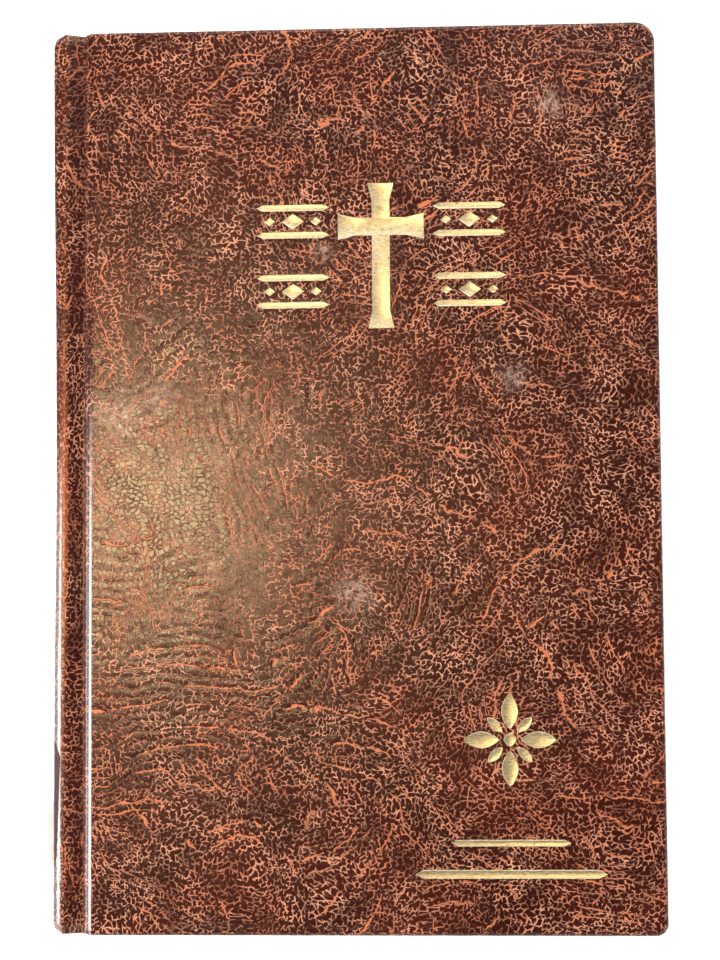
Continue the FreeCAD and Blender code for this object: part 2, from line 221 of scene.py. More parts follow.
def sheet_vectors(s, y):
    """Vectors per point of the flat sheet: grain = place + noise, folds = three tilted planes + noise, in
    lines, and strength = how deep each bundle is, in patches 17 to 23 mm across that shun each other."""
    bend = 1.5 * MM * soft_noise(s, y, 11 * MM, 3) + 0.5 * MM * soft_noise(s, y, 4.2 * MM, 4)
    lean = 1.5 * MM * soft_noise(s, y, 12 * MM, 5) + 0.5 * MM * soft_noise(s, y, 4.6 * MM, 6)
    grain = np.stack([s + bend, y + lean, 0 * s], -1)
    folds, patches = [], []
    for k, (tilt, gap) in enumerate(BUNDLES):
        across = s * np.cos(np.radians(tilt)) + y * np.sin(np.radians(tilt))
        swing = 9.0 * MM * soft_noise(s, y, 31 * MM, 10 + k) + 2.2 * MM * soft_noise(s, y, 12 * MM, 20 + k)
        waver = 0.6 * MM * soft_noise(s, y, 3.4 * MM, 25 + k)
        folds.append((across + swing + waver) / (gap * MM))
        patch = soft_noise(s, y, (17 + 3 * k) * MM, 30 + k) + 0.6 * soft_noise(s, y, 6 * MM, 40 + k)
        patches.append(patch)
    patches = np.stack(patches, -1)
    others = np.stack([np.maximum(patches[..., (k + 1) % 3], patches[..., (k + 2) % 3]) for k in range(3)], -1)
    strength = smooth_step(-0.15, 0.35, patches) * smooth_step(-0.2, 0.1, patches - others)
    return {"grain": grain, "folds": np.stack(folds, -1), "strength": strength}


def fold_depth(vectors):
    """How far each point is down in a fold, 0 to 1: a valley of smooth sides at every whole value of folds."""
    near_line = np.abs((vectors["folds"] % 1) - 0.5) * 2
    return (vectors["strength"] * smooth_step(0.55, 1.0, near_line)).max(-1)


# %% [markdown]
# The colour follows the relief. Voronoi cells give the pebbles, and the distance to a cell's edge is the
# valley. A little noise closes some of the valleys, so that pebbles run together like worms. The folds are
# drawn from the stored numbers, each with its own chance of being deep, and both go into the bump as well as
# into the colour. A fourth attribute holds wear and painted light: how scuffed a point is, how polished, and
# how far its colour leans to a painted warm reflection, with a little worn print, or to painted shade.


# %% Mix the leatherette
PEBBLES = 900.0  # Voronoi cells to the metre, so a pebble is about 1.1 mm across


def net_of_valleys(f, grain):
    """1 in a valley and 0 on a pebble, from nudged Voronoi cells, shallower in some places than in others."""
    wobble = f.node("TexNoise", Vector=grain, Scale=PEBBLES, Detail=2.0).outputs["Color"]
    nudge = f.node("VectorMath", {"operation": "MULTIPLY_ADD"}, i0=wobble, i1=(0.0011,) * 3, i2=grain)
    cells = f.node(
        "TexVoronoi", {"feature": "DISTANCE_TO_EDGE", "voronoi_dimensions": "2D"},
        Vector=nudge.outputs[0], Scale=PEBBLES,
    ).outputs["Distance"]
    closed = f.step(f.noise(grain, 820.0, 1.0), 0.44, 0.64, 0.0, 0.17)
    valley = f.step(f.math("ADD", cells, closed), 0.04, 0.23, 1.0, 0.0)
    return f.math("MULTIPLY", valley, f.step(f.noise(grain, 150.0, 2.0), 0.3, 0.7, 0.4, 0.85))


def long_creases(f, grain):
    """1 along a fold's line, which is where its stored number is whole, times the bundle's strength there."""
    folds = f.node("SeparateXYZ", Vector=f.attribute("folds")).outputs
    strength = f.node("SeparateXYZ", Vector=f.attribute("strength")).outputs
    shiver = f.math("MULTIPLY", f.math("SUBTRACT", f.noise(grain, 900.0, 2.0), 0.5), 0.55)
    crease = None
    for k in range(3):
        phase = f.math("ADD", folds[k], shiver)
        line = f.step(f.math("ABSOLUTE", f.math("SUBTRACT", f.math("FRACT", phase), 0.5)), 0.36, 0.48)
        number = f.math("ADD", f.math("ROUND", phase), 40.0 * k)
        chance = f.node("TexWhiteNoise", {"noise_dimensions": "1D"}, W=number).outputs["Value"]
        line = f.math("MULTIPLY", line, f.step(chance, 0.3, 0.8, 0.15, 1.0))
        broken = f.step(f.noise(grain, 150.0 + 30 * k, 1.0), 0.38, 0.52)
        deep = f.math("MULTIPLY", f.math("MULTIPLY", line, strength[k]), broken)
        crease = deep if crease is None else f.math("MAXIMUM", crease, deep)
    return crease


def leatherette():
    """Dark brown pebbles, wiped valleys, long folds, pale scuffs, waxy shine, painted reflection and shade."""
    f = Finish("grained_leatherette")
    grain = f.attribute("grain")
    crease = long_creases(f, grain)
    low_place = f.math("MAXIMUM", net_of_valleys(f, grain), crease)
    # Scuffs, polish, and a tint that paints a warm reflection where positive and shade where negative.
    scuff, polish, tint = f.node("SeparateXYZ", Vector=f.attribute("wear_and_painted_light")).outputs
    patchy = f.noise(grain, 38.0, 3.0)
    fine = f.noise(grain, 2600.0, 2.0)
    pebble = f.mix(f.step(patchy, 0.35, 0.7), colour(56, 9, 1), colour(76, 21, 7))
    pebble = f.mix(f.step(fine, 0.58, 0.9), pebble, colour(118, 48, 28))
    wiped = f.mix(f.step(f.noise(grain, 60.0, 2.0), 0.35, 0.65), colour(221, 136, 105), colour(250, 181, 152))
    wiped = f.mix(f.step(crease, 0.2, 0.8), wiped, colour(230, 136, 93))
    base = f.mix(f.step(low_place, 0.15, 0.85), pebble, wiped)
    # Painted light: a warm reflection on the spine's crest, over faint worn print, and shade in the grooves.
    painted_glow_and_worn_crest = f.math("MAXIMUM", tint, 0.0)
    shaded = f.math("MAXIMUM", f.math("MULTIPLY", tint, -1.0), 0.0)
    base = f.mix(f.math("MULTIPLY", painted_glow_and_worn_crest, 0.5), base, colour(214, 111, 62))
    base = f.mix(f.math("MULTIPLY", shaded, 0.6), base, colour(66, 29, 27))
    scuffed = f.math("MULTIPLY", scuff, f.step(f.noise(grain, 520.0, 4.0, 0.7), 0.38, 0.64, 0.0, 0.6))
    base = f.mix(scuffed, base, colour(228, 202, 193))
    relief = f.math("SUBTRACT", f.math("MULTIPLY", fine, 0.07), low_place)
    relief = f.math("MULTIPLY", relief, f.math("SUBTRACT", 1.0, f.math("MULTIPLY", polish, 0.8)))
    f.set_skin(
        Base_Color=base,
        Roughness=f.step(low_place, 0.0, 0.7, 0.24, 0.36),
        Normal=f.bump(relief, 0.00013, 0.9),
        Specular_IOR_Level=0.4,
        Coat_Weight=polish,
        Coat_Roughness=0.26,
        Coat_IOR=2.7,
    )
    return f.material


leather = leatherette()

# %% [markdown]
# ## The covers
#
# A cover is a board with the sheet drawn tight over it, so its edges are soft and its corners rounded, more
# at the head than at the tail. The outer panel is a fine grid, because the folds and pebbles are real relief
# in the mesh. The grid's rim then runs on round the edge, down the side and under the board as rings that
# follow the rim's own outline, so the sheet is one closed skin with even faces.


# %% Outline of a cover
def corners(node):
    """A node's lowest and highest corner as arrays."""
    return [np.array(corner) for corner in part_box(node)]


panel_low, panel_high = corners("front_cover_skin")
CORNERS = {"joint_tail": 1.2 * MM, "joint_head": 1.2 * MM, "fore_tail": 2.6 * MM, "fore_head": 4.5 * MM}


def round_corners(x, y, inset):
    """A rectangle's points with its corners drawn in to quarter circles. In a corner's square of side r the
    place (a, b) goes to (a sqrt(1 - b^2 / 2), b sqrt(1 - a^2 / 2)), which maps the square on a quarter disc."""
    x, y = x.copy(), y.copy()
    for name, radius in CORNERS.items():
        radius = max(radius - inset, 0.05 * MM)
        side_x = 1 if "fore" in name else -1
        side_y = 1 if "head" in name else -1
        edge_x = (panel_high if side_x > 0 else panel_low)[0] - side_x * inset
        edge_y = (panel_high if side_y > 0 else panel_low)[1] - side_y * inset
        a = (x - (edge_x - side_x * radius)) * side_x / radius
        b = (y - (edge_y - side_y * radius)) * side_y / radius
        inside = (a > 0) & (b > 0)
        a, b = np.clip(a, 0, 1), np.clip(b, 0, 1)
        new_x = edge_x - side_x * radius + side_x * radius * a * np.sqrt(1 - b * b / 2)
        new_y = edge_y - side_y * radius + side_y * radius * b * np.sqrt(1 - a * a / 2)
        x = np.where(inside, new_x, x)
        y = np.where(inside, new_y, y)
    return x, y


print("cover:", (panel_high - panel_low) / MM, "mm")

# %% [markdown]
# ## Foil shapes
#
# Gold foil is stamped with a hot brass die, which also irons the grain flat and sinks the shape a little. The
# front carries a plain cross between pairs of rules and lozenges, a small rosette near the tail, and two
# short rules under it. Each shape is a flat outline. The outlines come before the cover, because the cover's
# relief is pressed flat under them.


# %% Outlines for the foil
def diamond(x, y, half_x, half_y):
    return np.array([[x - half_x, y], [x, y - half_y], [x + half_x, y], [x, y + half_y]]) * MM


def rule(x, y, half, thick):
    """A straight rule with pointed ends."""
    h, shoulder = thick / 2, half - thick
    ring = [[-half, 0], [-shoulder, -h], [shoulder, -h], [half, 0], [shoulder, h], [-shoulder, h]]
    return (np.array(ring) + [x, y]) * MM


def latin_cross(x, y, height, reach, bar):
    """A cross with slightly flared ends; its arms lie a third of the way down."""
    h, r, b = height / 2, reach, bar / 2
    flare, arm = b * 1.45, height * 0.2
    ring = [
        [-flare, -h], [flare, -h], [b, -h + bar], [b, arm - b], [r - bar, arm - b], [r, arm - flare],
        [r, arm + flare], [r - bar, arm + b], [b, arm + b], [b, h - bar], [flare, h], [-flare, h],
        [-b, h - bar], [-b, arm + b], [-r + bar, arm + b], [-r, arm + flare], [-r, arm - flare],
        [-r + bar, arm - b], [-b, arm - b], [-b, -h + bar],
    ]
    return (np.array(ring) + [x, y]) * MM


def petal(x, y, angle, start, end, wide):
    """A pointed petal: its half width is wide times sin(pi t) to the power 0.8 along its length."""
    t = np.linspace(0, 1, 14)
    along = start + (end - start) * t
    across = wide * np.sin(np.pi * t) ** 0.8
    ring = np.concatenate([np.stack([along, -across], -1), np.stack([along, across], -1)[-2:0:-1]])
    c, s = np.cos(angle), np.sin(angle)
    return (ring @ np.array([[c, s], [-s, c]]) + [x, y]) * MM


TITLE = (6.6, 51.0)
ROSETTE = (35.2, -60.8)
outlines = [latin_cross(*TITLE, 34.0, 10.0, 4.2)]
for side in (-1, 1):
    for row in (-8.2, 8.2):
        x, y = TITLE[0] + side * 20.5, TITLE[1] + row
        outlines += [rule(x, y + 3.2, 8.5, 1.5), rule(x, y - 3.2, 8.5, 1.5)]
        outlines += [diamond(x, y, 2.6, 1.9), diamond(x - 5.4, y, 1.3, 1.0), diamond(x + 5.4, y, 1.3, 1.0)]
for k in range(8):
    long_petal = k % 2 == 0
    tip, half_width = (10.6, 1.9) if long_petal else (7.2, 1.1)
    outlines.append(petal(*ROSETTE, k * np.pi / 4, 2.4, tip, half_width))
outlines.append(petal(*ROSETTE, 0, -1.5, 1.5, 1.5))
outlines += [rule(35.3, -84.1, 13.5, 1.5), rule(35.2, -91.1, 21.8, 2.0)]
print(len(outlines), "foil shapes")


# %% Which points lie under the foil
def inside_outline(x, y, ring):
    """Counts how often a ray to the right crosses the outline; an odd count is inside."""
    odd = np.zeros(x.shape, bool)
    for (ax, ay), (bx, by) in zip(ring, np.roll(ring, -1, 0)):
        between = (ay > y) != (by > y)
        cross = ax + (y - ay) / ((by - ay) if by != ay else 1e-12) * (bx - ax)
        odd ^= between & (x < cross)
    return odd


def grow(ring, amount):
    """The outline a little larger: each corner moves along the mean of its two edges' outward normals."""
    edge = np.roll(ring, -1, 0) - ring
    normal = np.stack([edge[:, 1], -edge[:, 0]], -1) / np.linalg.norm(edge, axis=1, keepdims=True)
    mean = normal + np.roll(normal, 1, 0)
    mean /= np.maximum(np.linalg.norm(mean, axis=1, keepdims=True), 0.3)
    return ring + mean * amount


# %% [markdown]
# The back cover is the same sheet without foil, turned over. So one function makes both, and they differ only
# in their rubbed marks and in where on the sheet they are cut.


# %% The panel's grid, relief and wear
TURN = 1.0 * MM  # radius with which the sheet goes round the board's edge
TUCK = 4.0 * MM  # how far in under the board the sheet is closed
FOIL_DEPTH = 0.10  # mm, how far the die sinks the sheet
FOIL_MARGIN = 0.35 * MM
BEVEL_DROP = 0.32 * MM
PEBBLE, SWELL = 1.3 * MM, 23 * MM  # sizes of the noise that roughens a panel and of the one that waves it


def rubbed_marks(x, y, marks):
    """A soft patch round each mark (x, y, radius in mm), as exp of minus the squared distance."""
    share = np.zeros_like(x)
    for mark_x, mark_y, radius in marks:
        away = ((x / MM - mark_x) ** 2 + (y / MM - mark_y) ** 2) / radius**2
        share = np.maximum(share, np.exp(-away))
    return np.stack([share, 0 * x, 0 * x], -1)


def panel_grid():
    """Columns and rows of the panel; the columns stand close together beside the groove, for its crisp edge."""
    near_joint = np.arange(0, 2.4, 0.2) * MM
    rest = np.linspace(2.4 * MM, panel_high[0] - panel_low[0] - 2 * TURN, 200)
    xs = panel_low[0] + TURN + np.concatenate([near_joint, rest])
    return xs, np.linspace(panel_low[1] + TURN, panel_high[1] - TURN, 325)


def panel_depth(x, y, vectors, foil, seed_shift):
    """Depth in mm: folds, pebbles and a slow swell, faded out over the last 1.5 mm, level under the foil."""
    depth = 0.06 * fold_depth(vectors) + 0.016 * (1 + soft_noise(x + seed_shift, y, PEBBLE, 50))
    depth += 0.05 * (1 + soft_noise(x + seed_shift, y, SWELL, 51))
    rim_fade = np.minimum.reduce([x - x.min(), x.max() - x, y - y.min(), y.max() - y]) / (1.5 * MM)
    depth = depth * np.clip(rim_fade, 0, 1)
    for ring in foil:
        depth = np.where(inside_outline(x, y, grow(ring, FOIL_MARGIN)), FOIL_DEPTH, depth)
    return depth


def groove_side(x, y):
    """Beside the groove the sheet drops along a straight bevel. Hands have polished its crest and, less, the
    bevel itself, more towards the tail."""
    from_edge = x - panel_low[0]
    bevel = np.clip((1.9 * MM - from_edge) / (0.8 * MM), 0, 1)
    line = smooth_step(1.15 * MM, 1.35 * MM, from_edge) * smooth_step(2.0 * MM, 1.75 * MM, from_edge)
    polish = (0.3 + 0.7 * line) * smooth_step(2.1 * MM, 1.8 * MM, from_edge) * smooth_step(35 * MM, -14 * MM, y)
    return BEVEL_DROP * bevel, polish


# %% Make a cover of leatherette
def edge_steps(top, under):
    """For each ring below the panel: its inset from the cover's edge, its height, and the length of sheet used.
    A quarter circle of radius TURN comes first, then the side, then a small turn under the board."""
    quarter = np.radians([15, 30, 45, 60, 75, 90])
    steps = [(TURN - TURN * np.sin(a), top - TURN + TURN * np.cos(a), TURN * a) for a in quarter]
    side, round_length = top - TURN - under, TURN * 1.57
    steps += [(0.0, top - TURN - side * share, round_length + side * share) for share in (0.35, 0.85)]
    steps.append((0.12 * MM, under + 0.08 * MM, round_length + side))
    steps.append((0.4 * MM, under, round_length + side + 0.4 * MM))
    return steps


def cover_skin(name, outward, foil, marks, seed_shift):
    """The panel is a grid at the board's top minus its depth. Rings carry its rim round the edge, down the side
    and in under the board, and one flat face closes the skin. The back cover is turned over at the end."""
    top, under = panel_high[2], panel_low[2]
    xs, ys = panel_grid()
    flat_x, flat_y = np.meshgrid(xs, ys)
    x, y = round_corners(flat_x, flat_y, TURN)
    vectors = sheet_vectors(x + seed_shift, y)
    drop, polish = groove_side(x, y)
    z = top - panel_depth(x, y, vectors, foil, seed_shift) * MM - drop
    points = [np.stack([x, y, z], -1).reshape(-1, 3)]
    sheets = [{key: value.reshape(-1, 3) for key, value in vectors.items()}]
    wear = [(rubbed_marks(x, y, marks) + np.stack([0 * x, polish, 0 * x], -1)).reshape(-1, 3)]

    rim = grid_rim(*x.shape)
    rim_x, rim_y = flat_x.ravel()[rim], flat_y.ravel()[rim]
    out_x = np.where(rim_x >= xs[-1] - 1e-9, 1, np.where(rim_x <= xs[0] + 1e-9, -1, 0))
    out_y = np.where(rim_y >= ys[-1] - 1e-9, 1, np.where(rim_y <= ys[0] + 1e-9, -1, 0))
    rim_polish = polish.ravel()[rim]
    rim_drop = z.ravel()[rim] - top
    steps = edge_steps(top, under)
    for inset, height, gone in steps:
        ring_x, ring_y = round_corners(rim_x + out_x * (TURN - inset), rim_y + out_y * (TURN - inset), inset)
        waver = 0.03 * MM * soft_noise(rim_x + rim_y, gone + 0 * rim_x, 1.6 * MM, 52) * (inset < TURN)
        ring_z = height + rim_drop * np.clip((height - under) / (top - TURN - under), 0, 1)
        points.append(np.stack([ring_x - out_x * waver, ring_y - out_y * waver, ring_z], -1))
        sheets.append(sheet_vectors(rim_x + out_x * gone + seed_shift, rim_y + out_y * gone))
        rub = 0.12 * (inset < TURN * 0.8) * (height > top - TURN) + 0 * rim_x
        wear.append(np.stack([rub, rim_polish, 0 * rim_x], -1))
    tucked = [rim_x + out_x * (TURN - TUCK), rim_y + out_y * (TURN - TUCK), 0 * rim_x + under]
    points.append(np.stack(tucked, -1))
    sheets.append(sheet_vectors(rim_x + out_x * 6 * MM + seed_shift, rim_y + out_y * 6 * MM))
    wear.append(np.zeros((len(rim), 3)))

    points = np.concatenate(points)
    stacked = {key: np.concatenate([part[key] for part in sheets]) for key in sheets[0]}
    stacked["wear_and_painted_light"] = np.concatenate(wear)
    count, panel_size = len(rim), x.size
    blocks = [grid_faces(*x.shape)]
    inner = rim
    for k in range(len(steps) + 1):
        outer = panel_size + k * count + np.arange(count)
        blocks.append(np.stack([inner, outer, np.roll(outer, -1), np.roll(inner, -1)], -1))
        inner = outer
    blocks.append([inner[::-1]])
    if outward < 0:
        points[:, 2] = panel_high[2] - points[:, 2]
        blocks = [np.asarray(block)[:, ::-1] for block in blocks]
    return make_piece(name, points, blocks, leather, stacked, sharp=60)


FRONT_MARKS = ((-54, 14, 4.5), (-45, 18, 3.0), (-7, 52, 2.0), (37, 22, 2.5), (46, 86, 3.0), (0, -27, 4.0))
front_leather = cover_skin("front_cover_leather", 1, outlines, FRONT_MARKS, 0.0)
back_leather = cover_skin("back_cover_leather", -1, [], ((10, 40, 5.0), (-30, -60, 6.0)), 0.4)
for piece, body in ((front_leather, "front_cover"), (back_leather, "back_cover")):
    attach(piece, body)
    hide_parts(body + "_skin")

# %% [markdown]
# ## Gold foil
#
# Foil is a few microns thick, but the die leaves it as a plateau with a soft rim that catches the light. Each
# outline becomes a low bevelled plate, just under the sheet's surface. Its finish is a warm pale metal, dull
# and finely brushed, worn through in specks.


# %% Make the foil
def gold_foil():
    f = Finish("champagne_gold_foil")
    place = f.place()
    stretched = f.node("Mapping", Vector=place, Scale=(1.0, 6.0, 1.0), Rotation=(0.0, 0.0, 0.6)).outputs[0]
    brushed = f.noise(stretched, 900.0, 3.0, 0.6)
    worn_through = f.step(f.noise(place, 1500.0, 3.0, 0.65), 0.62, 0.7)
    tone = f.mix(f.step(brushed, 0.3, 0.7), colour(190, 175, 132), colour(236, 226, 196))
    f.set_skin(
        Base_Color=f.mix(worn_through, tone, colour(120, 82, 54)),
        Metallic=0.85,
        Roughness=f.step(brushed, 0.2, 0.8, 0.30, 0.48),
        Normal=f.bump(brushed, 0.00005, 0.6),
    )
    return f.material


FOIL_LEVELS = ((0.0, -0.16), (0.0, -0.05), (-0.10, -0.01), (-0.22, -0.045))  # inset and height of rings, mm


def foil_plates(name, rings):
    """For each outline four rings, from its root in the sheet over a raised rim to the flat, and a face at each
    end."""
    top = panel_high[2]
    points, blocks, start = [], [], 0
    for ring in rings:
        if (np.roll(ring, -1, 0)[:, 0] * ring[:, 1] - ring[:, 0] * np.roll(ring, -1, 0)[:, 1]).sum() > 0:
            ring = ring[::-1]
        n = len(ring)
        for inset, height in FOIL_LEVELS:
            edge = grow(ring, inset * MM)
            points.append(np.column_stack([edge, np.full(n, top + height * MM)]))
        for k in range(len(FOIL_LEVELS) - 1):
            inner, outer = start + k * n + np.arange(n), start + (k + 1) * n + np.arange(n)
            blocks.append(np.stack([inner, np.roll(inner, -1), np.roll(outer, -1), outer], -1))
        blocks.append([start + (len(FOIL_LEVELS) - 1) * n + np.arange(n)])
        blocks.append([(start + np.arange(n))[::-1]])
        start += len(FOIL_LEVELS) * n
    return make_piece(name, np.concatenate(points), blocks, gold_foil(), sharp=30)


foil = foil_plates("front_foil", outlines)
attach(foil, "front_cover")

# %% [markdown]
# ## The spine and the two grooves
#
# Round the spine the sheet is glued to a card, with soft shoulders and rounded ends. Beside each shoulder it
# dips into a groove, which is the book's real hinge. The spine is stiff, so it is one shell that rides on
# the spine. The groove bends, so it is a strip that blends from the page block to the cover. Both are a path
# in the XZ plane, carried along Y and given the sheet's thickness. Use has pushed the spine in a little along
# the middle and at the tail, and has polished its shoulders.


# %% Paths across the spine and the grooves
spine_low, spine_high = corners("spine_skin")
joint_low, joint_high = corners("front_joint_skin")
THICK = panel_high[2]
SHEET = 0.35 * MM


def spine_bow(y):
    """How far the back of the spine sits inwards: 0.9 mm times cos^2 along its length, 0.5 mm at the tail."""
    length = spine_high[1] - spine_low[1]
    return 0.9 * MM * np.cos(np.pi * y / length) ** 2 + 0.5 * MM * smooth_step(30 * MM, 95 * MM, -y)


def near_back(x):
    """1 at the spine's back, falling to 0 at 3 mm from it: how far a place takes part in the spine's bow."""
    return np.clip((spine_low[0] + 3 * MM - x) / (3 * MM), 0, 1)


def arc(centre, radius, start, end, count):
    """Points on a circle in the XZ plane between two angles in degrees."""
    a = np.radians(np.linspace(start, end, count))
    return np.stack([centre[0] + radius * np.cos(a), centre[1] + radius * np.sin(a)], -1)


def path_along(points, step):
    """Even points along a broken line, and the distance to each from its start."""
    gone = np.concatenate([[0], np.cumsum(np.linalg.norm(np.diff(points, axis=0), axis=1))])
    even = np.linspace(0, gone[-1], max(2, int(np.ceil(gone[-1] / step)) + 1))
    return np.stack([np.interp(even, gone, points[:, k]) for k in (0, 1)], -1), even


def spine_scuffs_and_painted_light(path, ys, y):
    """Scuffs within 2 mm of the ends, polish on the shoulder towards the tail, and a tint: a painted warm
    reflection on the shoulder's crest, mostly mid-length over faint worn print, and painted shade in the
    groove."""
    to_end = np.minimum(ys - ys[0], ys[-1] - ys)
    off_back = (path[:, 0] - spine_low[0])[None, :]
    scuff = 0 * y + 0.25 * (to_end < 2 * MM)[:, None]
    handled = smooth_step(2.9 * MM, 2.0 * MM, off_back) * smooth_step(0.0, 0.25 * MM, off_back)
    handled = handled * smooth_step(14 * MM, -16 * MM, y)
    # Painted warm reflection on the crest, mostly mid-length over faint worn print; painted groove shade.
    crest = smooth_step(0.6 * MM, 2.4 * MM, off_back) * smooth_step(4.4 * MM, 3.4 * MM, off_back)
    crest = crest * (0.12 + 0.88 * np.exp(-(((y + 8 * MM) / (26 * MM)) ** 2)))
    tint = crest - 0.45 * smooth_step(3.6 * MM, 4.6 * MM, off_back)
    return np.stack([scuff, handled, tint], -1)


def shell_along(name, path, gone, ends, inward, shift, end_round):
    """A sheet carried along Y. Its outer side is the path plus relief along the path's normal, its inner side
    lies one sheet thickness further in. Near each end the path shrinks inwards along a quarter circle."""
    ys = np.linspace(ends[0], ends[1], 340)
    tangent = np.gradient(path, axis=0)
    tangent /= np.linalg.norm(tangent, axis=1, keepdims=True)
    normal = np.stack([tangent[:, 1], -tangent[:, 0]], -1) * inward
    s, y = np.meshgrid(gone + shift, ys)
    vectors = sheet_vectors(s, y)
    relief = 0.10 * fold_depth(vectors) + 0.035 * (1 + soft_noise(s, y, PEBBLE, 50))
    to_end = np.minimum(ys - ends[0], ends[1] - ys)
    shrink = end_round - np.sqrt(np.maximum(end_round**2 - np.maximum(end_round - to_end, 0) ** 2, 0))
    inwards = (shrink * 0.9 + spine_bow(ys))[:, None] * near_back(path[:, 0])
    layers = []
    for extra in (0.0, SHEET):
        lift = relief * 0.8 * MM + extra
        x = path[:, 0] + normal[:, 0] * lift + inwards
        z = path[:, 1] + normal[:, 1] * lift
        layers.append(np.stack([x, y, z], -1).reshape(-1, 3))
    blocks = sheet_faces(*y.shape)
    if inward < 0:
        blocks = [block[:, ::-1] for block in blocks]
    vectors["wear_and_painted_light"] = spine_scuffs_and_painted_light(path, ys, y)
    stacked = {key: np.concatenate([value.reshape(-1, 3)] * 2) for key, value in vectors.items()}
    return make_piece(name, np.concatenate(layers), blocks, leather, stacked, sharp=60)


# %% Make the spine
ROUND = 2.5 * MM  # how far from the back the shoulder begins to fall
FALL = 0.95 * MM  # and how far it has fallen at the back
back_x = spine_low[0]
shoulder_z = spine_high[2]
off_back = np.linspace(ROUND, 0.12 * MM, 16)
shoulder = np.stack([back_x + off_back, shoulder_z - FALL * (1 - off_back / ROUND) ** 1.8], -1)
down_the_back = [
    [back_x + 0.03 * MM, shoulder_z - 1.25 * MM],
    [back_x, shoulder_z - 1.55 * MM],
    [back_x, THICK / 2],
]
half_path = np.concatenate([[[spine_high[0], shoulder_z]], shoulder, down_the_back])
other_half = half_path[::-1] * [1, -1] + [0, THICK]
round_the_spine = np.concatenate([half_path, other_half[1:]])
spine_path, spine_gone = path_along(round_the_spine, 0.55 * MM)
spine_leather = shell_along(
    "spine_leather", spine_path, spine_gone, (spine_low[1] + 0.2 * MM, spine_high[1] - 0.2 * MM),
    -1, -spine_gone[-1] / 2 - 0.08, 3.0 * MM,
)
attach(spine_leather, "spine")
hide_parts("spine_skin")


# %% Make the two groove strips
groove_floor = joint_low[2] + SHEET
groove_line = np.concatenate(
    [
        [[spine_high[0] - 0.02 * MM, shoulder_z]],
        [[spine_high[0] + 0.9 * MM, shoulder_z - 0.18 * MM]],
        arc((joint_high[0] - 0.42 * MM, groove_floor + 0.5 * MM), 0.5 * MM, 230, 350, 8),
        [[joint_high[0] + 0.12 * MM, groove_floor + 1.3 * MM]],
    ]
)
groove_path, groove_gone = path_along(groove_line, 0.4 * MM)
for side, flip in (("front", 1), ("back", -1)):
    path = groove_path if flip > 0 else groove_path * [1, -1] + [0, THICK]
    strip = shell_along(
        f"{side}_groove_leather", path, groove_gone, (joint_low[1] + 0.25 * MM, joint_high[1] - 0.25 * MM),
        flip, 0.2 * flip, 0.6 * MM,
    )
    z = shoulder_z if flip > 0 else THICK - shoulder_z
    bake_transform(strip)
    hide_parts(f"{side}_joint_skin")

# %% [markdown]
# ## Paper
#
# A bible's paper is thin, white leaning to cream. Every page shows as a fine line on the block's three cut
# edges. These pieces bend, so the finish reads a place stored with each point of the unbent paper, and draws
# its lines across the block's thickness only, where they vanish on the flat of a page.


# %% Mix the paper
def paper(name, pale, deep, lines):
    """Warm white paper with a faint mottle, and page lines along its cut edges."""
    f = Finish(name)
    rest = f.attribute("unbent")
    drawn = f.node("Mapping", Vector=rest, Scale=(0.012, 0.012, 1.0)).outputs[0]
    on_cut = f.math("MULTIPLY", f.node("SeparateXYZ", Vector=f.attribute("cut")).outputs[0], lines)
    fine = f.noise(drawn, 8000.0, 2.0, 0.6)
    broad = f.noise(drawn, 2300.0, 2.0)
    mottle = f.noise(rest, 90.0, 2.0)
    edge = f.math("MULTIPLY", f.math("MULTIPLY", f.step(fine, 0.4, 0.62), 0.6), on_cut)
    tone = f.mix(f.step(mottle, 0.3, 0.75, 0.0, 0.1), pale, deep)
    tone = f.mix(edge, tone, deep)
    tone = f.mix(f.math("MULTIPLY", f.step(broad, 0.46, 0.64), on_cut), tone, colour(150, 132, 100))
    tooth = f.math("MULTIPLY", f.noise(rest, 2400.0, 2.0), 0.3)
    height = f.math("ADD", f.math("MULTIPLY", fine, on_cut), tooth)
    f.set_skin(Base_Color=tone, Roughness=0.78, Normal=f.bump(height, 0.00006, 0.7), Specular_IOR_Level=0.3)
    return f.material


page_paper = paper("thin_page_paper", colour(226, 220, 201), colour(190, 178, 150), 0.75)
end_paper = paper("heavy_endpaper", colour(236, 228, 208), colour(206, 194, 166), 0.2)

# %% [markdown]
# A section is several folded sheets, sewn through the fold. Shut, it is a slab with a rounded fold. When the
# book opens, the fold stays on the spine and the paper turns up within a short way, further along for the
# sections in the middle than for those beside the covers. A grid with many lines near the fold can bend so.


